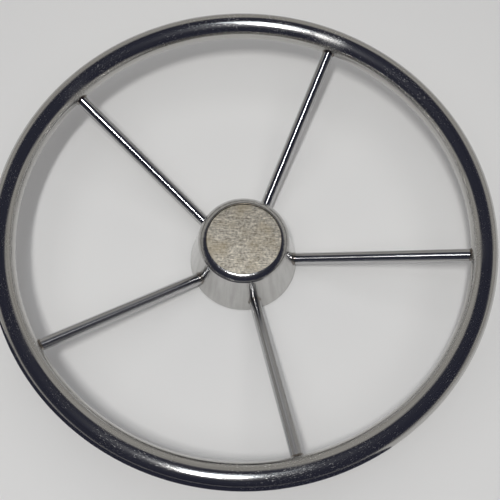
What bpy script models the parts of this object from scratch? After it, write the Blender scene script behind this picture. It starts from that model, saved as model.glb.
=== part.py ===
"""Ship steering wheel: a dished five-spoke wheel of stainless tube and rod.

The origin is the centre of the hub's back face. +Z runs along the shaft, towards the
person who steers, and +X runs along the first spoke. All sizes are in metres.
"""
import math

import bmesh
import bpy
from mathutils import Matrix, Vector

# Rim
RIM_DIAMETER = 0.3937          # over the outside of the tube
TUBE_RADIUS = 0.0103
TUBE_WALL = 0.0015
RIM_HEIGHT = 0.062             # the tube's centre above the hub's back face

# Spokes
SPOKE_COUNT = 5
SPOKE_RADIUS = 0.00475
SPOKE_SLOPE = 0.332            # rise for each metre of radius
SPOKE_INNER_RADIUS = 0.033     # where the rod ends, inside the hub shell
SPOKE_END_IN_TUBE = 0.006      # where the rod ends, short of the tube's centre

# Hub shell
HUB_HEIGHT = 0.0495
HUB_BASE_RADIUS = 0.044
BASE_EDGE = 0.0008             # the small flat that breaks the cone's bottom edge
SHOULDER_RADIUS = 0.0058
SHOULDER_CENTRE = 0.0304       # the shoulder arc's centre, out from the axis
SHELL_WALL = 0.003
CAP_SEAT_RADIUS = 0.0299
CAP_SEAT_DEPTH = 0.005
CAP_MOUTH_RADIUS = 0.027
CAP_MOUTH_BOTTOM = 0.040

# Cap
CAP_RECESS = 0.002             # how deep the satin face lies below the lip
CAP_FACE_THICKNESS = 0.0008
CAP_WEB = 0.0016               # thickness of the cap's flange and top
SPIGOT_RADIUS = 0.0262
SPIGOT_BOTTOM = 0.0385
SPIGOT_HOLLOW = 0.0226
O_RING_HEIGHT = 0.0422
O_RING_RADIUS = 0.02575
O_RING_CORD = 0.00085
GROOVE_RADIUS = 0.0246
GROOVE_HALF_WIDTH = 0.0012

# Boss, key, washer and nut
BOSS_RADIUS = 0.024
BOSS_HEIGHT = 0.024
BOSS_CHAMFER = 0.001
BORE_RADIUS = 0.009525         # at the back face
BORE_TAPER = 1 / 24            # loss of radius for each metre of height
KEY_WIDTH = 0.00476
KEY_INNER = 0.0062
KEY_OUTER = 0.0116
KEY_BOTTOM = 0.002
KEY_TOP = 0.022
KEY_EDGE = 0.0003
WASHER_RADIUS = 0.014
WASHER_HOLE = 0.0066
WASHER_THICKNESS = 0.002
WASHER_EDGE = 0.0004
NUT_ACROSS_FLATS = 0.01905
NUT_HEIGHT = 0.008
NUT_HOLE = 0.006
NUT_CHAMFER = 0.0009

# Back plate
PLATE_BOTTOM = 0.002
PLATE_TOP = 0.005

# Welds
RIM_WELD_TOE = 0.0074          # distances down the spoke from the tube's centre
RIM_WELD_TIP = 0.0123
HUB_WELD_SUNK = 0.0025         # how far the blank starts below the cone
HUB_WELD_REACH = 0.0020        # how far the weld climbs along the rod
WELD_SPREAD = 0.0014           # how far it spreads over the tube or the hub
BEAD = 0.0014                  # leg of the beads on the back plate

GAP = 0.0003                   # between pieces that touch
RIM_STEPS = 64
TUBE_STEPS = 16
HOLLOW_STEPS = 8
HUB_STEPS = 48
SMALL_STEPS = 24
ROD_STEPS = 20
WELD_STEPS = 16

RIM_RADIUS = RIM_DIAMETER / 2 - TUBE_RADIUS
SPOKE_ANGLE = math.atan(SPOKE_SLOPE)
SHOULDER_HEIGHT = HUB_HEIGHT - SHOULDER_RADIUS


def fitted_cone_slope():
    """The cone's run for each metre of rise, chosen so that it meets the shoulder smoothly."""
    slope = 0.0
    for _ in range(20):
        tilt = math.atan(slope)
        meet_radius = SHOULDER_CENTRE + SHOULDER_RADIUS * math.cos(tilt)
        meet_height = SHOULDER_HEIGHT + SHOULDER_RADIUS * math.sin(tilt)
        slope = (HUB_BASE_RADIUS - meet_radius) / meet_height
    return slope


CONE_SLOPE = fitted_cone_slope()


def cone_radius(height):
    return HUB_BASE_RADIUS - CONE_SLOPE * height


def inner_cone_radius(height):
    return cone_radius(height) - SHELL_WALL


def make_material(name, colour, roughness, metallic=1.0):
    material = bpy.data.materials.new(name)
    material.use_nodes = True
    shader = material.node_tree.nodes["Principled BSDF"]
    shader.inputs["Base Color"].default_value = (*colour, 1.0)
    shader.inputs["Roughness"].default_value = roughness
    shader.inputs["Metallic"].default_value = metallic
    return material


def add_object(name, bm, material):
    """Turns a bmesh into a named object with its faces pointing out."""
    bmesh.ops.remove_doubles(bm, verts=bm.verts, dist=1e-6)
    bmesh.ops.recalc_face_normals(bm, faces=bm.faces)
    mesh = bpy.data.meshes.new(name)
    bm.to_mesh(mesh)
    bm.free()
    mesh.shade_smooth()
    mesh.set_sharp_from_angle(angle=math.radians(35))
    mesh.materials.append(material)
    piece = bpy.data.objects.new(name, mesh)
    bpy.context.scene.collection.objects.link(piece)
    return piece


def turned(outline, steps):
    """Spins a closed outline of (radius, height) points around the Z axis."""
    bm = bmesh.new()
    points = [bm.verts.new((radius, 0.0, height)) for radius, height in outline]
    edges = []
    for first, second in zip(points, points[1:] + points[:1]):
        along_axis = first.co.x == 0.0 and second.co.x == 0.0
        if not along_axis:
            edges.append(bm.edges.new((first, second)))
    bmesh.ops.spin(bm, geom=edges, cent=(0, 0, 0), axis=(0, 0, 1), angle=math.tau,
                   steps=steps, use_merge=True)
    return bm


def rod(radius, start, end):
    """The outline of a plain round bar that stands on the Z axis."""
    return [(0.0, start), (radius, start), (radius, end), (0.0, end)]


def arc(centre, radius, start, end, steps):
    """Points along an arc of (radius, height), from one angle in degrees to another."""
    points = []
    for step in range(steps + 1):
        angle = math.radians(start + (end - start) * step / steps)
        points.append((centre[0] + radius * math.cos(angle), centre[1] + radius * math.sin(angle)))
    return points


def circle(centre, radius, steps):
    return arc(centre, radius, 0, 360, steps)[:-1]


def box(low, high):
    bm = bmesh.new()
    bmesh.ops.create_cube(bm, size=1.0)
    bmesh.ops.scale(bm, verts=bm.verts, vec=Vector(high) - Vector(low))
    bmesh.ops.translate(bm, verts=bm.verts, vec=(Vector(high) + Vector(low)) / 2)
    return bm


def add_cutter(name, bm, material):
    """A shape that only cuts another piece, and is not part of the wheel."""
    cutter = add_object(name, bm, material)
    cutter.hide_render = True
    cutter.display_type = "WIRE"
    return cutter


def cut(piece, cutter, operation="DIFFERENCE"):
    modifier = piece.modifiers.new(cutter.name, "BOOLEAN")
    modifier.operation = operation
    modifier.solver = "EXACT"
    modifier.object = cutter


def spoke_frame(index):
    """A frame at the tube's centre, with +Z running down spoke number index to the hub."""
    turn = Matrix.Rotation(math.tau * index / SPOKE_COUNT, 4, "Z")
    place = Matrix.Translation((RIM_RADIUS, 0.0, RIM_HEIGHT))
    lean = Matrix.Rotation(-math.pi / 2 - SPOKE_ANGLE, 4, "Y")
    return turn @ place @ lean


def down_spoke(radius):
    """Distance down a spoke's axis, from the tube's centre to a radius of the wheel."""
    return (RIM_RADIUS - radius) / math.cos(SPOKE_ANGLE)


def distance_to_cone():
    """Distance down a spoke's axis to where it enters the hub's cone."""
    axis_height = RIM_HEIGHT - SPOKE_SLOPE * RIM_RADIUS
    radius = (HUB_BASE_RADIUS - CONE_SLOPE * axis_height) / (1 + CONE_SLOPE * SPOKE_SLOPE)
    return down_spoke(radius)


def add_hole_cutters(name, start, end, material):
    """A round cutter around each spoke, between two distances down its axis."""
    cutters = []
    for index in range(SPOKE_COUNT):
        outline = rod(SPOKE_RADIUS + GAP, start, end)
        cutter = add_cutter(f"{name}_{index + 1}", turned(outline, ROD_STEPS), material)
        cutter.matrix_world = spoke_frame(index)
        cutters.append(cutter)
    return cutters


def build_rim(material):
    section = circle((RIM_RADIUS, RIM_HEIGHT), TUBE_RADIUS, TUBE_STEPS)
    rim = add_object("rim_tube", turned(section, RIM_STEPS), material)
    hollow = circle((RIM_RADIUS, RIM_HEIGHT), TUBE_RADIUS - TUBE_WALL, HOLLOW_STEPS)
    cut(rim, add_cutter("rim_hollow", turned(hollow, RIM_STEPS), material))
    for cutter in add_hole_cutters("rim_hole", TUBE_RADIUS / 3, TUBE_RADIUS * 1.3, material):
        cut(rim, cutter)


def build_spokes(material):
    for index in range(SPOKE_COUNT):
        outline = rod(SPOKE_RADIUS, SPOKE_END_IN_TUBE, down_spoke(SPOKE_INNER_RADIUS))
        spoke = add_object(f"spoke_{index + 1}", turned(outline, ROD_STEPS), material)
        spoke.matrix_world = spoke_frame(index)


def build_spoke_welds(name, surface, toe, tip, material):
    """A ring of weld around each spoke, trimmed to the surface that the rod enters."""
    inner = SPOKE_RADIUS + GAP
    waist = toe + 0.65 * (tip - toe)
    outline = [(inner, toe), (inner + WELD_SPREAD, toe), (inner + 0.35 * WELD_SPREAD, waist),
               (inner + 0.15 * WELD_SPREAD, tip), (inner, tip)]
    for index in range(SPOKE_COUNT):
        weld = add_object(f"{name}_{index + 1}", turned(outline, WELD_STEPS), material)
        weld.matrix_world = spoke_frame(index)
        cut(weld, surface)


def build_rim_welds(material):
    section = circle((RIM_RADIUS, RIM_HEIGHT), TUBE_RADIUS + GAP, TUBE_STEPS)
    surface = add_cutter("rim_surface", turned(section, RIM_STEPS), material)
    build_spoke_welds("rim_weld", surface, RIM_WELD_TOE, RIM_WELD_TIP, material)


def build_hub_welds(material):
    top = SHOULDER_HEIGHT
    outline = [(0.0, 0.0), (cone_radius(0.0) + GAP, 0.0), (cone_radius(top) + GAP, top), (0.0, top)]
    surface = add_cutter("hub_surface", turned(outline, HUB_STEPS), material)
    enters = distance_to_cone()
    build_spoke_welds("hub_weld", surface, enters + HUB_WELD_SUNK, enters - HUB_WELD_REACH, material)


def build_hub_shell(material):
    """The cone, its rounded shoulder, and the stepped mouth that holds the cap."""
    tilt = math.degrees(math.atan(CONE_SLOPE))
    seat = HUB_HEIGHT - CAP_SEAT_DEPTH
    ceiling = CAP_MOUTH_BOTTOM - SHELL_WALL
    outline = [(cone_radius(0.0) - BASE_EDGE, 0.0), (cone_radius(BASE_EDGE), BASE_EDGE)]
    outline += arc((SHOULDER_CENTRE, SHOULDER_HEIGHT), SHOULDER_RADIUS, tilt, 90, 7)
    outline += [(CAP_SEAT_RADIUS, HUB_HEIGHT - GAP), (CAP_SEAT_RADIUS, seat),
                (CAP_MOUTH_RADIUS, seat), (CAP_MOUTH_RADIUS, CAP_MOUTH_BOTTOM),
                (inner_cone_radius(ceiling) - SHELL_WALL, CAP_MOUTH_BOTTOM),
                (inner_cone_radius(ceiling), ceiling), (inner_cone_radius(0.0), 0.0)]
    shell = add_object("hub_shell", turned(outline, HUB_STEPS), material)
    enters = distance_to_cone()
    for cutter in add_hole_cutters("hub_hole", enters - 2 * SHELL_WALL, enters + 3 * SHELL_WALL, material):
        cut(shell, cutter)


def build_cap(satin, polished, rubber):
    """The plug in the hub's mouth: satin face, stepped body and the ring that grips."""
    flange = CAP_SEAT_RADIUS - GAP
    face_top = HUB_HEIGHT - CAP_RECESS
    face_bottom = face_top - CAP_FACE_THICKNESS
    edge = CAP_FACE_THICKNESS / 4
    face = [(0.0, face_bottom), (flange, face_bottom), (flange, face_top - edge),
            (flange - edge, face_top), (0.0, face_top)]
    add_object("cap_face", turned(face, HUB_STEPS), satin)

    top = face_bottom - GAP
    under = top - CAP_WEB
    groove_top = O_RING_HEIGHT + GROOVE_HALF_WIDTH
    groove_bottom = O_RING_HEIGHT - GROOVE_HALF_WIDTH
    body = [(0.0, top), (flange, top), (flange, under), (SPIGOT_RADIUS, under),
            (SPIGOT_RADIUS, groove_top), (GROOVE_RADIUS, groove_top), (GROOVE_RADIUS, groove_bottom),
            (SPIGOT_RADIUS, groove_bottom), (SPIGOT_RADIUS, SPIGOT_BOTTOM),
            (SPIGOT_HOLLOW, SPIGOT_BOTTOM), (SPIGOT_HOLLOW, under), (0.0, under)]
    add_object("cap_body", turned(body, HUB_STEPS), polished)

    ring = circle((O_RING_RADIUS, O_RING_HEIGHT), O_RING_CORD, 8)
    add_object("cap_o_ring", turned(ring, HUB_STEPS), rubber)


def build_boss(material):
    """The boss with its tapered bore, and the keyway on the first spoke's side."""
    bore_at_top = BORE_RADIUS - BORE_TAPER * BOSS_HEIGHT
    outline = [(BORE_RADIUS, 0.0), (BOSS_RADIUS - BOSS_CHAMFER, 0.0), (BOSS_RADIUS, BOSS_CHAMFER),
               (BOSS_RADIUS, BOSS_HEIGHT - BOSS_CHAMFER), (BOSS_RADIUS - BOSS_CHAMFER, BOSS_HEIGHT),
               (bore_at_top, BOSS_HEIGHT)]
    boss = add_object("shaft_boss", turned(outline, HUB_STEPS), material)
    half_width = KEY_WIDTH / 2 + GAP
    keyway = box((BORE_RADIUS / 2, -half_width, -BOSS_CHAMFER),
                 (KEY_OUTER + GAP, half_width, BOSS_HEIGHT + BOSS_CHAMFER))
    cut(boss, add_cutter("keyway", keyway, material))


def build_back_plate(material):
    inner = BOSS_RADIUS + GAP
    outline = [(inner, PLATE_BOTTOM), (inner_cone_radius(PLATE_BOTTOM) - GAP, PLATE_BOTTOM),
               (inner_cone_radius(PLATE_TOP) - GAP, PLATE_TOP), (inner, PLATE_TOP)]
    add_object("hub_back_plate", turned(outline, HUB_STEPS), material)


def build_plate_welds(material):
    """The beads in the plate's two corners, on the back of the hub."""
    high = PLATE_BOTTOM - GAP
    low = high - BEAD
    middle = (high + low) / 2
    hollow = 0.4 * BEAD                     # the bead's face is a little concave
    inner = BOSS_RADIUS + GAP
    add_object("plate_boss_weld", turned([(inner, low), (inner + hollow, middle), (inner + BEAD, high),
                                          (inner, high)], HUB_STEPS), material)
    outer_low = inner_cone_radius(low) - GAP
    outer_high = inner_cone_radius(high) - GAP
    add_object("plate_shell_weld", turned([(outer_low, low), (outer_high, high), (outer_high - BEAD, high),
                                           (outer_low - hollow, middle)], HUB_STEPS), material)


def build_key(material):
    bm = box((KEY_INNER, -KEY_WIDTH / 2, KEY_BOTTOM), (KEY_OUTER, KEY_WIDTH / 2, KEY_TOP))
    key = add_object("shaft_key", bm, material)
    edge = key.modifiers.new("broken_edges", "BEVEL")
    edge.width = KEY_EDGE
    edge.segments = 1


def build_washer(material):
    low = BOSS_HEIGHT + GAP
    high = low + WASHER_THICKNESS
    outline = [(WASHER_HOLE, low), (WASHER_RADIUS, low), (WASHER_RADIUS, high - WASHER_EDGE),
               (WASHER_RADIUS - WASHER_EDGE, high), (WASHER_HOLE, high)]
    add_object("shaft_washer", turned(outline, SMALL_STEPS), material)
    return high


def build_nut(material, low):
    """A hexagon nut with chamfered corners, standing on its turning axis."""
    corner = NUT_ACROSS_FLATS / math.sqrt(3)
    high = low + NUT_HEIGHT
    nut = add_object("shaft_nut", turned(rod(corner, low, high), 6), material)
    rounding = [(0.0, low), (corner - NUT_CHAMFER, low), (corner, low + NUT_CHAMFER / 2),
                (corner, high - NUT_CHAMFER / 2), (corner - NUT_CHAMFER, high), (0.0, high)]
    cut(nut, add_cutter("nut_rounding", turned(rounding, SMALL_STEPS), material), "INTERSECT")
    hole = rod(NUT_HOLE, low - GAP, high + GAP)
    cut(nut, add_cutter("nut_hole", turned(hole, SMALL_STEPS), material))


def build_wheel():
    polished = make_material("polished_stainless", (0.63, 0.62, 0.60), 0.08)
    satin = make_material("satin_stainless", (0.47, 0.43, 0.37), 0.45)
    machined = make_material("machined_stainless", (0.50, 0.50, 0.49), 0.35)
    weld = make_material("dressed_weld", (0.42, 0.40, 0.38), 0.25)
    rubber = make_material("black_rubber", (0.02, 0.02, 0.02), 0.7, metallic=0.0)

    build_rim(polished)
    build_spokes(polished)
    build_rim_welds(weld)
    build_hub_welds(weld)
    build_hub_shell(polished)
    build_cap(satin, polished, rubber)
    build_boss(machined)
    build_back_plate(machined)
    build_plate_welds(weld)
    build_key(machined)
    washer_top = build_washer(machined)
    build_nut(machined, washer_top + GAP)


for old in list(bpy.data.objects):
    bpy.data.objects.remove(old, do_unlink=True)
build_wheel()
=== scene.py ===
import math

import bmesh
import bpy
from mathutils import Matrix, Vector


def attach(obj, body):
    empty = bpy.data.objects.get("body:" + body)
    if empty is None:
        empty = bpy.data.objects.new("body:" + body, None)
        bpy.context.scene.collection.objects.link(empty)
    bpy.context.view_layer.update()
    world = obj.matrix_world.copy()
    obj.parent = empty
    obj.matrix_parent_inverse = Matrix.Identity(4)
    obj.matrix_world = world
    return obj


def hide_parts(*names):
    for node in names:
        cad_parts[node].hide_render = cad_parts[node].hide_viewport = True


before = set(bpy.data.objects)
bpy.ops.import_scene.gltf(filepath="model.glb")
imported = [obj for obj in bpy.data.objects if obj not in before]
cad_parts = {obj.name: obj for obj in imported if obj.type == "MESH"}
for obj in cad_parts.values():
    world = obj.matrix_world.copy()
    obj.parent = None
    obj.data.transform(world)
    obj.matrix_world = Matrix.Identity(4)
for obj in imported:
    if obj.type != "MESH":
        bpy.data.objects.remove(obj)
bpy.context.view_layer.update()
print("frame loaded:", len(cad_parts), "pieces")

# All sizes are in metres. The wheel lies on its back: +Z is the shaft, +X is the first spoke.
wheel = {"spokes": 5, "rimRadius": 0.18655, "rimHeight": 0.062, "tubeRadius": 0.0103,
         "rodRadius": 0.00475, "rodSlope": 0.332}
hub = {"baseRadius": 0.044, "height": 0.0495, "coneRun": 0.1767, "shoulderRadius": 0.0058,
       "shoulderCentre": 0.0304, "wall": 0.003}


def toLinear(hexColour):
    parts = [int(hexColour[i:i + 2], 16) / 255 for i in (1, 3, 5)]
    parts = [c / 12.92 if c <= 0.04045 else ((c + 0.055) / 1.055) ** 2.4 for c in parts]
    return (*parts, 1.0)


def addNode(tree, kind, settings=None, links=None):
    node = tree.nodes.new(kind)
    for name, value in (settings or {}).items():
        if name == "stops":
            ramp = node.color_ramp
            while len(ramp.elements) < len(value):
                ramp.elements.new(0.5)
            for element, (place, colour) in zip(ramp.elements, value):
                element.position = place
                element.color = toLinear(colour)
        elif isinstance(name, str) and hasattr(node, name):
            setattr(node, name, value)
        else:
            node.inputs[name].default_value = value
    for name, source in (links or {}).items():
        tree.links.new(source, node.inputs[name])
    return node


def newMaterial(name):
    material = bpy.data.materials.new(name)
    material.use_nodes = True
    material.node_tree.nodes.clear()
    return material, material.node_tree


def shadeByAngle(mesh, degrees):
    work = bmesh.new()
    work.from_mesh(mesh)
    bmesh.ops.recalc_face_normals(work, faces=work.faces)
    for face in work.faces:
        face.smooth = True
    for edge in work.edges:
        edge.smooth = len(edge.link_faces) == 2 and edge.calc_face_angle() < math.radians(degrees)
    work.to_mesh(mesh)
    work.free()


def newPiece(name, body, material, mesh, place=Matrix.Identity(4), stands=None):
    piece = bpy.data.objects.new(name, mesh)
    bpy.context.scene.collection.objects.link(piece)
    piece.matrix_world = place
    mesh.materials.clear()
    mesh.materials.append(material)
    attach(piece, body)
    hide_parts(*(stands or [name]))
    return piece


# A grid of points closed one way or both, with its UVs in metres along and across it;
# points that meet on the axis are merged
def gridMesh(name, rows, closeRows, closeColumns, across, along, sharpAngle=35):
    points = [p for row in rows for p in row]
    rowCount, columnCount = len(rows), len(rows[0])
    faces, uvs = [], []
    for i in range(rowCount if closeRows else rowCount - 1):
        for j in range(columnCount if closeColumns else columnCount - 1):
            i2, j2 = (i + 1) % rowCount, (j + 1) % columnCount
            faces.append((i * columnCount + j, i * columnCount + j2,
                          i2 * columnCount + j2, i2 * columnCount + j))
            uvs += [(along[i], across[j]), (along[i], across[j + 1]),
                    (along[i + 1], across[j + 1]), (along[i + 1], across[j])]
    mesh = bpy.data.meshes.new(name)
    mesh.from_pydata(points, [], faces)
    layer = mesh.uv_layers.new(name="lengths")
    for loop, uv in zip(layer.data, uvs):
        loop.uv = uv
    work = bmesh.new()
    work.from_mesh(mesh)
    bmesh.ops.remove_doubles(work, verts=work.verts, dist=1e-7)
    work.to_mesh(mesh)
    work.free()
    shadeByAngle(mesh, sharpAngle)
    return mesh


# Rounds every corner of an outline of (radius, height, rounding) points; a rounding takes
# at most 45 per cent of the side on either hand
def roundedOutline(corners, steps=5):
    outline = []
    for k, (radius, height, rounding) in enumerate(corners):
        here = Vector((radius, height))
        before = Vector(corners[k - 1][:2]) - here
        after = Vector(corners[(k + 1) % len(corners)][:2]) - here
        if rounding <= 0 or before.length < 1e-9 or after.length < 1e-9:
            outline.append((radius, height))
            continue
        cut = min(rounding, before.length * 0.45, after.length * 0.45)
        start, end = here + before.normalized() * cut, here + after.normalized() * cut
        for s in range(steps + 1):
            t = s / steps
            spot = start * (1 - t) ** 2 + here * 2 * t * (1 - t) + end * t ** 2
            outline.append((spot.x, spot.y))
    return outline


# Turns a closed outline about the shaft, as a lathe does
def latheMesh(name, outline, steps, sharpAngle=35):
    rows = []
    for i in range(steps):
        angle = 2 * math.pi * i / steps
        rows.append([(r * math.cos(angle), r * math.sin(angle), z) for r, z in outline])
    across = [0.0]
    for k in range(len(outline)):
        r1, z1 = outline[k]
        r2, z2 = outline[(k + 1) % len(outline)]
        across.append(across[-1] + math.hypot(r2 - r1, z2 - z1))
    widest = max(r for r, z in outline)
    along = [2 * math.pi * widest * i / steps for i in range(steps + 1)]
    return gridMesh(name, rows, True, True, across, along, sharpAngle)


def cutMesh(mesh, cutter, operation="DIFFERENCE"):
    body = bpy.data.objects.new("blank", mesh)
    tool = bpy.data.objects.new("tool", cutter)
    for o in (body, tool):
        bpy.context.scene.collection.objects.link(o)
    cut = body.modifiers.new("cut", "BOOLEAN")
    cut.operation = operation
    cut.solver = "EXACT"
    cut.object = tool
    shapes = bpy.context.evaluated_depsgraph_get()
    result = bpy.data.meshes.new_from_object(body.evaluated_get(shapes))
    for o in (body, tool):
        bpy.data.objects.remove(o)
    shadeByAngle(result, 30)
    return result


def blockMesh(name, low, high, edge=0.0):
    work = bmesh.new()
    middle = (Vector(low) + Vector(high)) / 2
    size = Vector(high) - Vector(low)
    bmesh.ops.create_cube(work, size=1.0,
                          matrix=Matrix.Translation(middle) @ Matrix.Diagonal((*size, 1)))
    if edge:
        bmesh.ops.bevel(work, geom=list(work.edges), offset=edge, segments=3, profile=0.5,
                        affect="EDGES")
    mesh = bpy.data.meshes.new(name)
    work.to_mesh(mesh)
    work.free()
    shadeByAngle(mesh, 20)
    return mesh


def spokeAngle(index):
    return 2 * math.pi * index / wheel["spokes"]


# The rod's own frame: it starts at the tube's centre and its Z runs down to the hub
def rodFrame(index):
    return (Matrix.Rotation(spokeAngle(index), 4, "Z")
            @ Matrix.Translation((wheel["rimRadius"], 0, wheel["rimHeight"]))
            @ Matrix.Rotation(-math.pi / 2 - math.atan(wheel["rodSlope"]), 4, "Y"))


# What the three polished finishes share: handling in patches of a few centimetres, the colour
# of a dull streak, and how far a dressed joint spreads round and across the tube
polish = {"patchesPerMetre": 28.0, "patchRoughness": 0.04, "streakColour": "#8d8a86",
          "scratchHeight": 0.0002, "jointFrom": 0.90, "jointFull": 0.99, "jointOutside": 0.004,
          "jointInside": 0.006, "jointHaze": 0.75}

# Mirror-polished 316 stainless: crisp reflections, short hairline scratches along the tube
rimFinish = {"steel": "#c5c4c2", "handled": "#bbb9b5", "roughness": 0.09, "hazeRoughness": 0.5,
             "scratchPitch": 0.0007, "scratchLength": 0.0028, "speckSize": 0.0011,
             "wear": 1.0, "scratchDepth": 0.03, "anisotropy": 0.6, "grainTurn": 0.25,
             "streakAlong": 0.12, "streakAcross": 0.0012, "streakDepth": 0.00006,
             "streakTint": 0.45,
             "film": 0.5, "filmRoughness": 0.32, "lean": 0.085, "dressedAtSpokes": True}


def mirrorPolishedStainless(name, finish):
    material, tree = newMaterial(name)
    lengths = addNode(tree, "ShaderNodeUVMap", {"uv_map": "lengths"})
    place = addNode(tree, "ShaderNodeTexCoord")
    # scratches are longer than wide, and drawn about five times coarser than real ones to show
    stretched = addNode(tree, "ShaderNodeMapping",
                        {"Scale": (1 / finish["scratchLength"], 1 / finish["scratchPitch"], 1)},
                        {"Vector": lengths.outputs[0]})
    scratches = addNode(tree, "ShaderNodeTexNoise",
                        {"Scale": 1.0, "Detail": 3.0, "Roughness": 0.6, "Distortion": 0.4},
                        {"Vector": stretched.outputs[0]})
    lines = addNode(tree, "ShaderNodeMapRange",
                    {"From Min": 0.6, "From Max": 0.68, "To Min": 0.0, "To Max": 1.0},
                    {"Value": scratches.outputs[0]})
    # water spots a millimetre or more across, thicker where the steel has been handled
    spots = addNode(tree, "ShaderNodeTexNoise",
                    {"Scale": 1 / finish["speckSize"], "Detail": 4.0, "Roughness": 0.7},
                    {"Vector": place.outputs["Object"]})
    patches = addNode(tree, "ShaderNodeTexNoise",
                      {"Scale": polish["patchesPerMetre"], "Detail": 2.0},
                      {"Vector": place.outputs["Object"]})
    spotted = addNode(tree, "ShaderNodeMapRange",
                      {"From Min": 0.6, "From Max": 0.72, "To Min": 0.0, "To Max": 1.0},
                      {"Value": spots.outputs[0]})
    marks = addNode(tree, "ShaderNodeMath", {"operation": "MAXIMUM"},
                    {0: lines.outputs[0], 1: spotted.outputs[0]})
    worn = addNode(tree, "ShaderNodeMapRange",
                   {"From Min": 0.38, "From Max": 0.6, "To Min": 0.15},
                   {"Value": patches.outputs[0]})
    marks = addNode(tree, "ShaderNodeMath", {"operation": "MULTIPLY"},
                    {0: marks.outputs[0], 1: worn.outputs[0]})
    marks = addNode(tree, "ShaderNodeMath", {"operation": "MULTIPLY", 1: finish["wear"]},
                    {0: marks.outputs[0]})
    if finish.get("dressedAtSpokes"):
        # hand-dressed round each joint: a hazy patch on the side the spoke comes in
        axes = addNode(tree, "ShaderNodeSeparateXYZ", links={0: place.outputs["Object"]})
        turn = addNode(tree, "ShaderNodeMath", {"operation": "ARCTAN2"},
                       {0: axes.outputs[1], 1: axes.outputs[0]})
        turns = addNode(tree, "ShaderNodeMath",
                        {"operation": "MULTIPLY", 1: float(wheel["spokes"])},
                        {0: turn.outputs[0]})
        atJoint = addNode(tree, "ShaderNodeMath", {"operation": "COSINE"},
                          {0: turns.outputs[0]})
        flat = addNode(tree, "ShaderNodeCombineXYZ",
                       links={0: axes.outputs[0], 1: axes.outputs[1]})
        out = addNode(tree, "ShaderNodeVectorMath", {"operation": "LENGTH"},
                      {0: flat.outputs[0]})
        inward = addNode(tree, "ShaderNodeMapRange",
                         {"From Min": wheel["rimRadius"] + polish["jointOutside"],
                          "From Max": wheel["rimRadius"] - polish["jointInside"],
                          "To Max": polish["jointHaze"]},
                         {"Value": out.outputs["Value"]})
        close = addNode(tree, "ShaderNodeMapRange",
                        {"From Min": polish["jointFrom"], "From Max": polish["jointFull"]},
                        {"Value": atJoint.outputs[0]})
        dressed = addNode(tree, "ShaderNodeMath", {"operation": "MULTIPLY"},
                          {0: close.outputs[0], 1: inward.outputs[0]})
        broken = addNode(tree, "ShaderNodeMath", {"operation": "MULTIPLY"},
                         {0: dressed.outputs[0], 1: spots.outputs[0]})
        marks = addNode(tree, "ShaderNodeMath", {"operation": "MAXIMUM"},
                        {0: marks.outputs[0], 1: broken.outputs[0]})
    spread = addNode(tree, "ShaderNodeMapRange",
                     {"From Min": 0.0, "From Max": 1.0, "To Min": finish["roughness"],
                      "To Max": finish["hazeRoughness"]},
                     {"Value": marks.outputs[0]})
    uneven = addNode(tree, "ShaderNodeMath",
                     {"operation": "MULTIPLY_ADD", 1: polish["patchRoughness"]},
                     {0: patches.outputs[0], 2: spread.outputs[0]})
    colour = addNode(tree, "ShaderNodeMix",
                     {"data_type": "RGBA", 6: toLinear(finish["steel"]),
                      7: toLinear(finish["handled"])},
                     {0: patches.outputs[0]})
    bump = addNode(tree, "ShaderNodeBump",
                   {"Strength": finish["scratchDepth"], "Distance": polish["scratchHeight"]},
                   {"Height": scratches.outputs[0]})
    # long buffing streaks, which bend the reflections a little
    drawn = addNode(tree, "ShaderNodeMapping",
                    {"Scale": (1 / finish["streakAlong"], 1 / finish["streakAcross"], 1)},
                    {"Vector": lengths.outputs[0]})
    streaks = addNode(tree, "ShaderNodeTexNoise",
                      {"Scale": 1.0, "Detail": 4.0, "Roughness": 0.6},
                      {"Vector": drawn.outputs[0]})
    bump = addNode(tree, "ShaderNodeBump", {"Strength": 1.0, "Distance": finish["streakDepth"]},
                   {"Height": streaks.outputs[0], "Normal": bump.outputs[0]})
    dull = addNode(tree, "ShaderNodeMapRange",
                   {"From Min": 0.42, "From Max": 0.68, "To Max": finish["streakTint"]},
                   {"Value": streaks.outputs[0]})
    colour = addNode(tree, "ShaderNodeMix",
                     {"data_type": "RGBA", 7: toLinear(polish["streakColour"])},
                     {0: dull.outputs[0], 6: colour.outputs[2]})
    if "lean" in finish:
        # bending leaves the tube a little flatter on its inner side, so its normals lean inward
        flatOut = addNode(tree, "ShaderNodeVectorMath", {"operation": "MULTIPLY", 1: (1, 1, 0)},
                          {0: place.outputs["Object"]})
        away = addNode(tree, "ShaderNodeVectorMath", {"operation": "LENGTH"},
                       {0: flatOut.outputs[0]})
        bump = addNode(tree, "ShaderNodeBump", {"Strength": 1.0, "Distance": finish["lean"]},
                       {"Height": away.outputs["Value"], "Normal": bump.outputs[0]})
    tangent = addNode(tree, "ShaderNodeTangent", {"direction_type": "RADIAL", "axis": "Z"})
    shader = addNode(tree, "ShaderNodeBsdfPrincipled",
                     {"Metallic": 1.0, "Coat Weight": finish.get("film", 0.0),
                      "Coat Roughness": finish.get("filmRoughness", 0.0),
                      "Anisotropic": finish.get("anisotropy", 0.0),
                      "Anisotropic Rotation": finish.get("grainTurn", 0.0)},
                     {"Base Color": colour.outputs[2], "Roughness": uneven.outputs[0],
                      "Normal": bump.outputs[0], "Tangent": tangent.outputs[0]})
    addNode(tree, "ShaderNodeOutputMaterial", links={"Surface": shader.outputs[0]})
    return material


rimSteel = mirrorPolishedStainless("mirrorPolishedTube", rimFinish)

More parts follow.
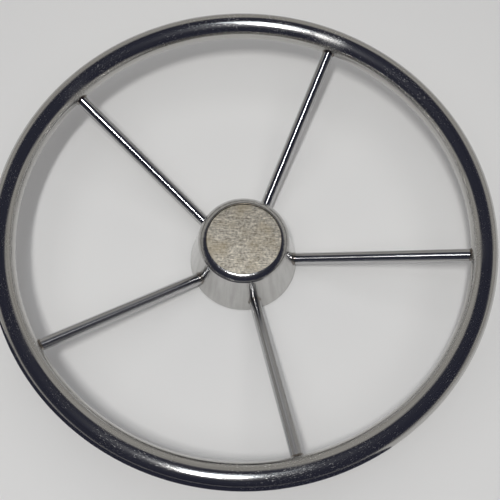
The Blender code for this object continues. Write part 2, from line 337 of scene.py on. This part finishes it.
# Centreless-ground and polished rod: the grinding runs round it, so a lamp draws out into a
# bright line along it, and faint dull streaks from polishing run down its length
rodFinish = {"steel": "#d3d4d5", "handled": "#c4c4c5", "roughness": 0.18, "hazeRoughness": 0.24,
             "scratchPitch": 0.0007, "scratchLength": 0.03, "speckSize": 0.003,
             "wear": 0.2, "scratchDepth": 0.003, "anisotropy": 1.0, "grainTurn": 0.25,
             "streakAlong": 0.25, "streakAcross": 0.0022, "streakDepth": 0.00004,
             "streakTint": 0.8}
rodSteel = mirrorPolishedStainless("groundPolishedRod", rodFinish)

# Lathe-buffed stainless: polishing rings round the cone, faint streaks up it
hubFinish = {"steel": "#cccbc9", "handled": "#bab9b6", "roughness": 0.15, "hazeRoughness": 0.34,
             "scratchPitch": 0.0006, "scratchLength": 0.02, "speckSize": 0.002,
             "wear": 0.6, "scratchDepth": 0.03, "film": 0.3, "filmRoughness": 0.3,
             "streakAlong": 0.005, "streakAcross": 0.05, "streakDepth": 0.0003,
             "streakTint": 0.38}
hubSteel = mirrorPolishedStainless("buffedSpinning", hubFinish)

# Coarse belt-brushed stainless, a little stained: short uneven lines one way, a warm dull grain
capFinish = {"low": "#7a7266", "high": "#fdf6e6", "stain": "#bdae90", "grit": 0.0007,
             "lineLength": 0.009, "lineTurn": 5.6, "grain": 0.002, "roughness": 0.55, "metallic": 0.85,
             "stainsPerMetre": 60.0}


def brushedStainless(name, finish):
    material, tree = newMaterial(name)
    place = addNode(tree, "ShaderNodeTexCoord")
    stretched = addNode(tree, "ShaderNodeMapping",
                        {"Rotation": (0, 0, -math.radians(finish["lineTurn"])),
                         "Scale": (1 / finish["lineLength"], 1 / finish["grit"], 1.0)},
                        {"Vector": place.outputs["Object"]})
    brushing = addNode(tree, "ShaderNodeTexNoise",
                       {"Scale": 1.0, "Detail": 4.0, "Roughness": 0.75},
                       {"Vector": stretched.outputs[0]})
    grain = addNode(tree, "ShaderNodeTexNoise",
                    {"Scale": 1 / finish["grain"], "Detail": 5.0, "Roughness": 0.8},
                    {"Vector": place.outputs["Object"]})
    stains = addNode(tree, "ShaderNodeTexNoise",
                     {"Scale": finish["stainsPerMetre"], "Detail": 3.0},
                     {"Vector": place.outputs["Object"]})
    both = addNode(tree, "ShaderNodeMix", {"data_type": "FLOAT", 0: 0.5},
                   {2: brushing.outputs[0], 3: grain.outputs[0]})
    colour = addNode(tree, "ShaderNodeValToRGB",
                     {"stops": [(0.4, finish["low"]), (0.6, finish["high"])]},
                     {0: both.outputs[0]})
    amount = addNode(tree, "ShaderNodeMapRange",
                     {"From Min": 0.45, "From Max": 0.7, "To Min": 0.0, "To Max": 0.6},
                     {"Value": stains.outputs[0]})
    stained = addNode(tree, "ShaderNodeMix",
                      {"data_type": "RGBA", 7: toLinear(finish["stain"])},
                      {0: amount.outputs[0], 6: colour.outputs[0]})
    spread = addNode(tree, "ShaderNodeMapRange",
                     {"From Min": 0.3, "From Max": 0.7, "To Min": finish["roughness"] - 0.08,
                      "To Max": finish["roughness"] + 0.12},
                     {"Value": grain.outputs[0]})
    bump = addNode(tree, "ShaderNodeBump", {"Strength": 0.8, "Distance": 0.00025},
                   {"Height": both.outputs[0]})
    shader = addNode(tree, "ShaderNodeBsdfPrincipled",
                     {"Metallic": finish["metallic"]},
                     {"Base Color": stained.outputs[2], "Roughness": spread.outputs[0],
                      "Normal": bump.outputs[0]})
    addNode(tree, "ShaderNodeOutputMaterial", links={"Surface": shader.outputs[0]})
    return material


capSteel = brushedStainless("beltBrushedDisc", capFinish)

# Turned stainless, left off the tool: real rings are 0.15 mm apart, these are drawn at 2.5 mm to show
turnedFinish = {"steel": "#aaa9a6", "shade": "#85837f", "ringPitch": 0.0025,
                "dullPerMetre": 90.0, "roughness": 0.3}


def turnedStainless(name, finish):
    material, tree = newMaterial(name)
    place = addNode(tree, "ShaderNodeTexCoord")
    # a wave of scale 1 has a phase of 20 for each metre
    rings = addNode(tree, "ShaderNodeTexWave",
                    {"wave_type": "RINGS", "rings_direction": "Z", "wave_profile": "SIN",
                     "Scale": 2 * math.pi / 20 / finish["ringPitch"], "Distortion": 0.6, "Detail": 2.0},
                    {"Vector": place.outputs["Object"]})
    dull = addNode(tree, "ShaderNodeTexNoise",
                   {"Scale": finish["dullPerMetre"], "Detail": 4.0},
                   {"Vector": place.outputs["Object"]})
    colour = addNode(tree, "ShaderNodeMix",
                     {"data_type": "RGBA", 6: toLinear(finish["steel"]),
                      7: toLinear(finish["shade"])},
                     {0: dull.outputs[0]})
    spread = addNode(tree, "ShaderNodeMapRange",
                     {"To Min": finish["roughness"] - 0.08, "To Max": finish["roughness"] + 0.1},
                     {"Value": dull.outputs[0]})
    bump = addNode(tree, "ShaderNodeBump", {"Strength": 0.35, "Distance": 0.0001},
                   {"Height": rings.outputs[1]})
    shader = addNode(tree, "ShaderNodeBsdfPrincipled",
                     {"Metallic": 1.0},
                     {"Base Color": colour.outputs[2], "Roughness": spread.outputs[0],
                      "Normal": bump.outputs[0]})
    addNode(tree, "ShaderNodeOutputMaterial", links={"Surface": shader.outputs[0]})
    return material


turnedSteel = turnedStainless("turnedBar", turnedFinish)

# TIG weld, dressed and buffed: darker than the tube, with low soft ripples left in it
weldFinish = {"metal": "#a09c97", "heatTint": "#5f5650", "rippleSize": 0.0012,
              "tintsPerMetre": 350.0, "roughness": 0.16}


def dressedWeld(name, finish):
    material, tree = newMaterial(name)
    place = addNode(tree, "ShaderNodeTexCoord")
    ripples = addNode(tree, "ShaderNodeTexNoise",
                      {"Scale": 1 / finish["rippleSize"], "Detail": 2.0},
                      {"Vector": place.outputs["Object"]})
    tints = addNode(tree, "ShaderNodeTexNoise",
                    {"Scale": finish["tintsPerMetre"], "Detail": 3.0},
                    {"Vector": place.outputs["Object"]})
    colour = addNode(tree, "ShaderNodeValToRGB",
                     {"stops": [(0.35, finish["heatTint"]), (0.6, finish["metal"])]},
                     {0: tints.outputs[0]})
    spread = addNode(tree, "ShaderNodeMapRange",
                     {"To Min": finish["roughness"] - 0.06, "To Max": finish["roughness"] + 0.14},
                     {"Value": tints.outputs[0]})
    bump = addNode(tree, "ShaderNodeBump", {"Strength": 0.4, "Distance": 0.0003},
                   {"Height": ripples.outputs[0]})
    shader = addNode(tree, "ShaderNodeBsdfPrincipled",
                     {"Metallic": 1.0},
                     {"Base Color": colour.outputs[0], "Roughness": spread.outputs[0],
                      "Normal": bump.outputs[0]})
    addNode(tree, "ShaderNodeOutputMaterial", links={"Surface": shader.outputs[0]})
    return material


weldSteel = dressedWeld("dressedTigWeld", weldFinish)

# Moulded nitrile rubber: near black, soft wide sheen, a faint powdery bloom
rubberFinish = {"black": "#141414", "bloom": "#26262a", "bloomPerMetre": 700.0,
                "roughness": 0.55, "ior": 1.52}


def mouldedRubber(name, finish):
    material, tree = newMaterial(name)
    place = addNode(tree, "ShaderNodeTexCoord")
    bloom = addNode(tree, "ShaderNodeTexNoise",
                    {"Scale": finish["bloomPerMetre"], "Detail": 3.0},
                    {"Vector": place.outputs["Object"]})
    colour = addNode(tree, "ShaderNodeMix",
                     {"data_type": "RGBA", 6: toLinear(finish["black"]),
                      7: toLinear(finish["bloom"])},
                     {0: bloom.outputs[0]})
    bump = addNode(tree, "ShaderNodeBump", {"Strength": 0.1, "Distance": 0.0001},
                   {"Height": bloom.outputs[0]})
    shader = addNode(tree, "ShaderNodeBsdfPrincipled",
                     {"Roughness": finish["roughness"], "IOR": finish["ior"]},
                     {"Base Color": colour.outputs[2], "Normal": bump.outputs[0]})
    addNode(tree, "ShaderNodeOutputMaterial", links={"Surface": shader.outputs[0]})
    return material


nitrile = mouldedRubber("mouldedNitrile", rubberFinish)
print("finishes made")


rim = {"stepsRound": 384, "stepsAcross": 64}


def makeRim():
    rows = []
    for i in range(rim["stepsRound"]):
        turn = 2 * math.pi * i / rim["stepsRound"]
        row = []
        for j in range(rim["stepsAcross"]):
            lean = 2 * math.pi * j / rim["stepsAcross"]
            r = wheel["rimRadius"] + wheel["tubeRadius"] * math.cos(lean)
            row.append((r * math.cos(turn), r * math.sin(turn),
                        wheel["rimHeight"] + wheel["tubeRadius"] * math.sin(lean)))
        rows.append(row)
    along = [2 * math.pi * wheel["rimRadius"] * i / rim["stepsRound"]
             for i in range(rim["stepsRound"] + 1)]
    across = [2 * math.pi * wheel["tubeRadius"] * j / rim["stepsAcross"]
              for j in range(rim["stepsAcross"] + 1)]
    mesh = gridMesh("rim_tube", rows, True, True, across, along, 60)
    newPiece("rim_tube_fine", "wheel", rimSteel, mesh, stands=["rim_tube"])


makeRim()
print("rim made")


rod = {"start": 0.007, "end": 0.1575, "sides": 48, "rings": 40}
weld = {"rimSpread": 0.0012, "rimReach": 0.0017, "hubSpread": 0.0011, "hubReach": 0.0017,
        "unevenness": 0.05, "sides": 64, "rings": 10, "hubStart": 0.150, "sunk": 0.00005,
        "walkSteps": 60}


def tubeDistance(point):
    out = math.hypot(point.x, point.y) - wheel["rimRadius"]
    return math.hypot(out, point.z - wheel["rimHeight"]) - wheel["tubeRadius"]


def coneDistance(point):
    lean = math.atan(hub["coneRun"])
    out = math.hypot(point.x, point.y) - (hub["baseRadius"] - hub["coneRun"] * point.z)
    return out * math.cos(lean)


def makeRod(index):
    rows = []
    for i in range(rod["rings"] + 1):
        z = rod["start"] + (rod["end"] - rod["start"]) * i / rod["rings"]
        rows.append([(wheel["rodRadius"] * math.cos(2 * math.pi * j / rod["sides"]),
                      wheel["rodRadius"] * math.sin(2 * math.pi * j / rod["sides"]), z)
                     for j in range(rod["sides"])])
    along = [(rod["end"] - rod["start"]) * i / rod["rings"] for i in range(rod["rings"] + 1)]
    across = [2 * math.pi * wheel["rodRadius"] * j / rod["sides"] for j in range(rod["sides"] + 1)]
    mesh = gridMesh("rod", rows, False, True, across, along)
    newPiece(f"spoke_{index + 1}_fine", "wheel", rodSteel, mesh,
             rodFrame(index), [f"spoke_{index + 1}"])


# Where a line beside the rod's axis meets a surface, found by walking along it
def meetSurface(place, x, y, distance, start, step):
    z = start
    for _ in range(weld["walkSteps"]):
        gap = distance(place @ Vector((x, y, z)))
        z += step * gap
    return z


# A concave fillet from the surface up onto the rod
def makeWeld(name, index, distance, start, step, spread, reach, stands):
    place = rodFrame(index)
    rows = []
    for i in range(weld["rings"] + 1):
        t = i / weld["rings"] * math.pi / 2
        row = []
        for j in range(weld["sides"]):
            a = 2 * math.pi * j / weld["sides"]
            wander = 1 + weld["unevenness"] * (math.sin(5 * a + index * 1.7)
                                               + 0.6 * math.sin(11 * a + index * 2.9)) / 1.6
            out = wheel["rodRadius"] + spread * wander * (1 - math.sin(t))
            x, y = out * math.cos(a), out * math.sin(a)
            z = meetSurface(place, x, y, distance, start, step)
            z -= step * (reach * wander * (1 - math.cos(t)) - weld["sunk"])
            row.append((x, y, z))
        rows.append(row)
    sideLength = 2 * math.pi * wheel["rodRadius"] / weld["sides"]
    across = [sideLength * j for j in range(weld["sides"] + 1)]
    along = [(spread + reach) / weld["rings"] * i for i in range(weld["rings"] + 1)]
    mesh = gridMesh(name, rows, False, True, across, along, 80)
    newPiece(name, "wheel", weldSteel, mesh, place, stands)


for spoke in range(wheel["spokes"]):
    makeRod(spoke)
    makeWeld(f"rim_weld_{spoke + 1}_fine", spoke, tubeDistance, wheel["tubeRadius"], -1.0,
             weld["rimSpread"], weld["rimReach"], [f"rim_weld_{spoke + 1}"])
    makeWeld(f"hub_weld_{spoke + 1}_fine", spoke, coneDistance, weld["hubStart"], 1.0,
             weld["hubSpread"], weld["hubReach"], [f"hub_weld_{spoke + 1}"])
print("spokes and welds made")


shell = {"steps": 192, "seatRadius": 0.0299, "seatHeight": 0.0445, "mouthRadius": 0.027,
         "mouthBottom": 0.040, "ceiling": 0.037, "ceilingRadius": 0.0295, "ease": 0.4,
         "baseEdge": 0.0008, "edgeSteps": 4, "coneTop": 0.0440, "coneSteps": 12,
         "shoulderSteps": 14, "lipEdge": 0.0001, "innerEdge": 0.0003}


def makeHubShell():
    def coneAt(z):
        return hub["baseRadius"] - hub["coneRun"] * z
    edge, steps = shell["baseEdge"], shell["shoulderSteps"]
    outline = [(coneAt(0) - edge, 0.0)]
    for s in range(shell["edgeSteps"] + 1):
        t = s / shell["edgeSteps"] * math.pi / 2
        outline.append((coneAt(edge) - edge * (1 - math.sin(t)), edge * (1 - math.cos(t))))
    for s in range(1, shell["coneSteps"] + 1):
        z = edge + (shell["coneTop"] - edge) * s / shell["coneSteps"]
        outline.append((coneAt(z), z))
    lean = math.atan(hub["coneRun"])
    # the shoulder was rounded on a buff, so it is flatter than a true arc
    arc = []
    for s in range(steps + 1):
        a = lean + (math.pi / 2 - lean) * s / steps
        arc.append(Vector((hub["shoulderCentre"] + hub["shoulderRadius"] * math.cos(a),
                           hub["height"] - hub["shoulderRadius"]
                           + hub["shoulderRadius"] * math.sin(a))))
    for s in range(steps + 1):
        spot = arc[s].lerp(arc[0].lerp(arc[steps], s / steps), shell["ease"])
        outline.append((spot.x, spot.y))
    corners = [(shell["seatRadius"] + shell["lipEdge"], hub["height"], 0),
               (shell["seatRadius"], hub["height"] - shell["lipEdge"], 0),
               (shell["seatRadius"], shell["seatHeight"], shell["innerEdge"]),
               (shell["mouthRadius"], shell["seatHeight"], shell["innerEdge"]),
               (shell["mouthRadius"], shell["mouthBottom"], shell["innerEdge"]),
               (shell["ceilingRadius"], shell["mouthBottom"], 0.0),
               (coneAt(shell["ceiling"]) - hub["wall"], shell["ceiling"], 0.001),
               (coneAt(0) - hub["wall"], 0.0, 0.0004)]
    closed = [(outline[-1][0], outline[-1][1], 0)] + corners + [(outline[0][0], outline[0][1], 0)]
    inner = roundedOutline(closed)[1:-1]
    mesh = latheMesh("hub_shell", outline + inner, shell["steps"])
    newPiece("hub_shell_fine", "wheel", hubSteel, mesh,
             stands=["hub_shell"])


makeHubShell()
print("hub shell made")


cap = {"faceTop": 0.0475, "faceThickness": 0.0008, "faceRadius": 0.0296, "bodyTop": 0.0464,
       "flangeBottom": 0.0448, "spigotRadius": 0.0262, "spigotBottom": 0.0385,
       "hollowRadius": 0.0226, "grooveRadius": 0.0246, "grooveHalf": 0.0012,
       "ringHeight": 0.0422, "ringRadius": 0.02575, "ringCord": 0.00085, "edge": 0.0002,
       "steps": 128, "ringSteps": 16}


def makeCap():
    face = roundedOutline([(0.0, cap["faceTop"] - cap["faceThickness"], 0),
                           (cap["faceRadius"], cap["faceTop"] - cap["faceThickness"], 0.0001),
                           (cap["faceRadius"], cap["faceTop"], 0.00025),
                           (0.0, cap["faceTop"], 0)])
    newPiece("cap_face_fine", "cap", capSteel,
             latheMesh("cap_face", face, cap["steps"]), stands=["cap_face"])
    low, high = cap["ringHeight"] - cap["grooveHalf"], cap["ringHeight"] + cap["grooveHalf"]
    body = roundedOutline([(0.0, cap["bodyTop"], 0),
                           (cap["faceRadius"], cap["bodyTop"], cap["edge"]),
                           (cap["faceRadius"], cap["flangeBottom"], cap["edge"]),
                           (cap["spigotRadius"], cap["flangeBottom"], cap["edge"]),
                           (cap["spigotRadius"], high, cap["edge"]),
                           (cap["grooveRadius"], high, cap["edge"]),
                           (cap["grooveRadius"], low, cap["edge"]),
                           (cap["spigotRadius"], low, cap["edge"]),
                           (cap["spigotRadius"], cap["spigotBottom"], 0.0005),
                           (cap["hollowRadius"], cap["spigotBottom"], 0.0003),
                           (cap["hollowRadius"], cap["flangeBottom"], 0.0008),
                           (0.0, cap["flangeBottom"], 0)])
    newPiece("cap_body_fine", "cap", turnedSteel,
             latheMesh("cap_body", body, cap["steps"]), stands=["cap_body"])
    turns = [2 * math.pi * k / cap["ringSteps"] for k in range(cap["ringSteps"])]
    ring = [(cap["ringRadius"] + cap["ringCord"] * math.cos(a),
             cap["ringHeight"] + cap["ringCord"] * math.sin(a)) for a in turns]
    newPiece("cap_o_ring_fine", "cap", nitrile,
             latheMesh("cap_o_ring", ring, cap["steps"], 80), stands=["cap_o_ring"])


makeCap()
print("cap made")


# Turned from bar: the bore tapers to grip the shaft, and the keyway runs right through it
boss = {"radius": 0.024, "height": 0.024, "chamfer": 0.001, "boreRadius": 0.009525,
        "boreTaper": 1 / 24, "keywayHalf": 0.00268, "keywayOuter": 0.0119, "overshoot": 0.001,
        "steps": 128}


def makeBoss():
    boreTop = boss["boreRadius"] - boss["boreTaper"] * boss["height"]
    edge = boss["radius"] - boss["chamfer"]
    outline = roundedOutline([(boss["boreRadius"], 0.0, 0.0003),
                              (edge, 0.0, 0.0002),
                              (boss["radius"], boss["chamfer"], 0.0002),
                              (boss["radius"], boss["height"] - boss["chamfer"], 0.0002),
                              (edge, boss["height"], 0.0002),
                              (boreTop, boss["height"], 0.0003)])
    keyway = blockMesh("keyway",
                       (boss["boreRadius"] / 2, -boss["keywayHalf"], -boss["overshoot"]),
                       (boss["keywayOuter"], boss["keywayHalf"],
                        boss["height"] + boss["overshoot"]))
    mesh = cutMesh(latheMesh("shaft_boss", outline, boss["steps"]), keyway)
    newPiece("shaft_boss_fine", "wheel", turnedSteel, mesh,
             stands=["shaft_boss"])


# A ring of plate closes the hub's back, with a bead of weld in each of its corners
plate = {"low": 0.002, "high": 0.005, "gap": 0.0003, "edge": 0.0004, "steps": 128,
         "beadLeg": 0.0014, "ripple": 0.002, "rippleDepth": 0.16, "rippleSteps": 6,
         "faceSteps": 5}


def shellInside(height):
    return hub["baseRadius"] - hub["coneRun"] * height - hub["wall"] - plate["gap"]


# The bead's corner stays put while its face, sagging towards that corner, ripples in and out
def makeBead(name, corner, foot, toe):
    corner, foot, toe = Vector(corner), Vector(foot), Vector(toe)
    middle = corner * 0.7 + (foot + toe) * 0.15
    ripples = round(2 * math.pi * corner.x / plate["ripple"])
    slices = ripples * plate["rippleSteps"]
    rows = []
    for i in range(slices):
        angle = 2 * math.pi * i / slices
        size = 1 - plate["rippleDepth"] * (0.5 + 0.5 * math.cos(angle * ripples))
        row = [corner]
        for s in range(plate["faceSteps"] + 1):
            t = s / plate["faceSteps"]
            face = foot * (1 - t) ** 2 + middle * 2 * t * (1 - t) + toe * t ** 2
            row.append(corner + (face - corner) * size)
        rows.append([(p.x * math.cos(angle), p.x * math.sin(angle), p.y) for p in row])
    along = [plate["ripple"] * i / plate["rippleSteps"] for i in range(slices + 1)]
    across = [plate["beadLeg"] * k / 3 for k in range(plate["faceSteps"] + 3)]
    newPiece(name + "_fine", "wheel", weldSteel,
             gridMesh(name, rows, True, True, across, along, 80), stands=[name])


def makeBackPlate():
    low, high, inner = plate["low"], plate["high"], boss["radius"] + plate["gap"]
    outline = roundedOutline([(inner, low, plate["edge"]), (shellInside(low), low, plate["edge"]),
                              (shellInside(high), high, plate["edge"]),
                              (inner, high, plate["edge"])])
    newPiece("hub_back_plate_fine", "wheel", turnedSteel,
             latheMesh("hub_back_plate", outline, plate["steps"]), stands=["hub_back_plate"])
    top = low - plate["gap"]
    foot = top - plate["beadLeg"]
    makeBead("plate_boss_weld", (inner, top), (inner, foot), (inner + plate["beadLeg"], top))
    makeBead("plate_shell_weld", (shellInside(top), top), (shellInside(foot), foot),
             (shellInside(top) - plate["beadLeg"], top))


# Key, washer and a half-inch nut with twenty threads to the inch
fixings = {"keyLow": (0.0062, -0.00238, 0.002), "keyHigh": (0.0116, 0.00238, 0.022),
           "keyEdge": 0.0003, "washerRadius": 0.014, "washerHole": 0.0066, "washerLow": 0.0243,
           "washerHigh": 0.0263, "washerEdge": 0.0004, "nutFlats": 0.01905, "nutLow": 0.0266,
           "nutHigh": 0.0346, "nutChamfer": 0.0009, "nutHole": 0.006, "threadPitch": 0.00127,
           "threadDepth": 0.0005, "threadRings": 8, "threadUv": 0.0005, "overshoot": 0.0003,
           "steps": 96}


# A screw-shaped plug: what is left when it is cut out of the nut is the thread, with a
# small flat at its crest and its root
def threadMesh(low, high):
    count = round((high - low) / fixings["threadPitch"] * fixings["threadRings"])
    rows = [[(0.0, 0.0, low)] * fixings["steps"]]
    for i in range(count + 1):
        z = low + (high - low) * i / count
        row = []
        for j in range(fixings["steps"]):
            turn = j / fixings["steps"]
            phase = (z / fixings["threadPitch"] - turn) % 1
            depth = min(1.0, max(0.0, 1.25 * (1 - abs(2 * phase - 1)) - 0.125))
            r = fixings["nutHole"] + fixings["threadDepth"] * depth
            row.append((r * math.cos(2 * math.pi * turn), r * math.sin(2 * math.pi * turn), z))
        rows.append(row)
    rows.append([(0.0, 0.0, high)] * fixings["steps"])
    lengths = [fixings["threadUv"] * k for k in range(max(len(rows), fixings["steps"]) + 1)]
    return gridMesh("thread", rows, False, True, lengths, lengths)


def makeFixings():
    key = blockMesh("shaft_key", fixings["keyLow"], fixings["keyHigh"], fixings["keyEdge"])
    newPiece("shaft_key_fine", "wheel", turnedSteel, key,
             stands=["shaft_key"])
    low, high, edge = fixings["washerLow"], fixings["washerHigh"], fixings["washerEdge"]
    washer = roundedOutline([(fixings["washerHole"], low, 0.0001),
                             (fixings["washerRadius"], low, 0.0001),
                             (fixings["washerRadius"], high, edge),
                             (fixings["washerHole"], high, 0.0002)])
    newPiece("shaft_washer_fine", "wheel", turnedSteel,
             latheMesh("shaft_washer", washer, fixings["steps"]), stands=["shaft_washer"])
    low, high, cut = fixings["nutLow"], fixings["nutHigh"], fixings["nutChamfer"]
    corner = fixings["nutFlats"] / math.sqrt(3)
    blank = latheMesh("shaft_nut", [(0.0, low), (corner, low), (corner, high), (0.0, high)], 6)
    rounding = latheMesh("rounding", [(0.0, low), (corner - cut, low), (corner, low + cut / 2),
                                      (corner, high - cut / 2), (corner - cut, high),
                                      (0.0, high)], fixings["steps"])
    thread = threadMesh(low - fixings["overshoot"], high + fixings["overshoot"])
    nut = cutMesh(cutMesh(blank, rounding, "INTERSECT"), thread)
    newPiece("shaft_nut_fine", "nut", turnedSteel, nut,
             stands=["shaft_nut"])


makeBoss()
makeBackPlate()
makeFixings()
print("boss, back plate, key, washer and nut made")


# The dark, wall and strip colours are linear light; the floor's are sRGB
studio = {"floor": "#e4e3e0", "floorShade": "#dddcda", "cloudsPerMetre": 3.0,
          "floorSize": 30.0, "floorDrop": 0.0004, "dark": (0.030, 0.032, 0.052),
          "wall": (0.44, 0.43, 0.41), "wallTilt": (0.0, 0.42, -0.91), "wallEdge": -0.37,
          "wallBlend": 0.07,
          "keyPlace": (-0.12, -0.54, 1.85), "keySize": (0.10, 0.26), "keyPower": 14.0,
          "stripPlace": (-0.04, -0.20, 1.75), "stripSize": (0.14, 0.66), "stripPower": 1.6,
          "stripColour": (0.86, 0.93, 1.0),
          "fillSize": 3.0, "fillHeight": 2.2, "fillPower": 25.0}
camera = {"place": (0.0206, -0.288, 0.787), "turn": 5.64, "tilt": 20.7, "roll": -0.91,
          "lens": 72.5, "sensor": 36}


# Pale matt paper: no sheen and only faint clouds of shade, so the shadows read plainly
def makeFloor():
    half = studio["floorSize"] / 2
    mesh = bpy.data.meshes.new("floor")
    mesh.from_pydata([(-half, -half, 0), (half, -half, 0), (half, half, 0), (-half, half, 0)],
                     [], [(0, 1, 2, 3)])
    floor = bpy.data.objects.new("floor", mesh)
    floor.location.z = -studio["floorDrop"]
    bpy.context.scene.collection.objects.link(floor)
    material, tree = newMaterial("paleMattPaper")
    place = addNode(tree, "ShaderNodeTexCoord")
    soft = addNode(tree, "ShaderNodeTexNoise",
                   {"Scale": studio["cloudsPerMetre"], "Detail": 2.0},
                   {"Vector": place.outputs["Object"]})
    shade = addNode(tree, "ShaderNodeMix",
                    {"data_type": "RGBA", 6: toLinear(studio["floor"]),
                     7: toLinear(studio["floorShade"])},
                    {0: soft.outputs[0]})
    shader = addNode(tree, "ShaderNodeBsdfPrincipled",
                     {"Roughness": 0.9, "Specular IOR Level": 0.1},
                     {"Base Color": shade.outputs[2]})
    addNode(tree, "ShaderNodeOutputMaterial", links={"Surface": shader.outputs[0]})
    mesh.materials.append(material)


# A card laid round the near side of the wheel, seen only in the polished metal: it glows as dimly as
# the dark ceiling and so paints a dark reflection on the near side of the rim
darkCard = {"inner": 0.193, "outer": 1.4, "from": -162, "to": -48, "steps": 24, "height": 0.0002}


def makeDarkReflectionCard():
    points = []
    for i in range(darkCard["steps"] + 1):
        angle = math.radians(darkCard["from"] + (darkCard["to"] - darkCard["from"]) * i / darkCard["steps"])
        for out in (darkCard["inner"], darkCard["outer"]):
            points.append((out * math.cos(angle), out * math.sin(angle), darkCard["height"]))
    faces = [(2 * i, 2 * i + 1, 2 * i + 3, 2 * i + 2) for i in range(darkCard["steps"])]
    mesh = bpy.data.meshes.new("paintedDarkReflectionCard")
    mesh.from_pydata(points, [], faces)
    piece = bpy.data.objects.new("paintedDarkReflectionCard", mesh)
    bpy.context.scene.collection.objects.link(piece)
    # painted dark reflection: the card glows faintly in the studio's dark colour, and only the metal
    # shows it
    material, tree = newMaterial("paintedDarkReflection")
    glow = addNode(tree, "ShaderNodeEmission", {"Color": (*studio["dark"], 1), "Strength": 1.0})
    addNode(tree, "ShaderNodeOutputMaterial", links={"Surface": glow.outputs[0]})
    mesh.materials.append(material)
    piece.visible_camera = False
    piece.visible_diffuse = False
    piece.visible_shadow = False


def makeWorld():
    world = bpy.data.worlds.new("studio")
    bpy.context.scene.world = world
    world.use_nodes = True
    tree = world.node_tree
    tree.nodes.clear()
    place = addNode(tree, "ShaderNodeTexCoord")
    # walls are pale, and higher on the far side; the ceiling and the near side are dark
    lean = addNode(tree, "ShaderNodeVectorMath",
                   {"operation": "DOT_PRODUCT", 1: studio["wallTilt"]},
                   {0: place.outputs["Generated"]})
    pale = addNode(tree, "ShaderNodeMapRange",
                   {"interpolation_type": "SMOOTHSTEP",
                    "From Min": studio["wallEdge"] - studio["wallBlend"],
                    "From Max": studio["wallEdge"] + studio["wallBlend"]},
                   {"Value": lean.outputs["Value"]})
    colour = addNode(tree, "ShaderNodeMix",
                     {"data_type": "RGBA", 6: (*studio["dark"], 1), 7: (*studio["wall"], 1)},
                     {0: pale.outputs[0]})
    light = addNode(tree, "ShaderNodeBackground", {"Strength": 1.0}, {"Color": colour.outputs[2]})
    addNode(tree, "ShaderNodeOutputWorld", links={"Surface": light.outputs[0]})


# An area lamp aimed at the origin
def makeLight(name, place, size, power, inMirrors=True):
    data = bpy.data.lights.new(name, "AREA")
    data.shape = "RECTANGLE"
    data.size = size[0]
    data.size_y = size[1]
    data.energy = power
    lamp = bpy.data.objects.new(name, data)
    bpy.context.scene.collection.objects.link(lamp)
    lamp.location = place
    lamp.rotation_euler = (Vector() - Vector(place)).to_track_quat("-Z", "Y").to_euler()
    lamp.visible_glossy = inMirrors
    return lamp


# The key and the strip draw the bright lines on the metal; the wide fill only lights the rest
makeFloor()
makeWorld()
makeDarkReflectionCard()
makeLight("key", studio["keyPlace"], studio["keySize"], studio["keyPower"])
strip = makeLight("strip", studio["stripPlace"], studio["stripSize"], studio["stripPower"])
strip.rotation_euler = (0, 0, 0)  # this one hangs level
strip.data.color = studio["stripColour"]
makeLight("fill", (0, 0, studio["fillHeight"]), (studio["fillSize"], studio["fillSize"]),
          studio["fillPower"], inMirrors=False)

lensData = bpy.data.cameras.new("camera")
lensData.lens = camera["lens"]
lensData.sensor_width = camera["sensor"]
eye = bpy.data.objects.new("camera", lensData)
bpy.context.scene.collection.objects.link(eye)
eye.matrix_world = (Matrix.Translation(camera["place"])
                    @ Matrix.Rotation(math.radians(camera["turn"]), 4, "Z")
                    @ Matrix.Rotation(math.radians(camera["tilt"]), 4, "X")
                    @ Matrix.Rotation(math.radians(camera["roll"]), 4, "Y"))
bpy.context.scene.camera = eye
bpy.context.scene.view_settings.view_transform = "Standard"
print("studio made")
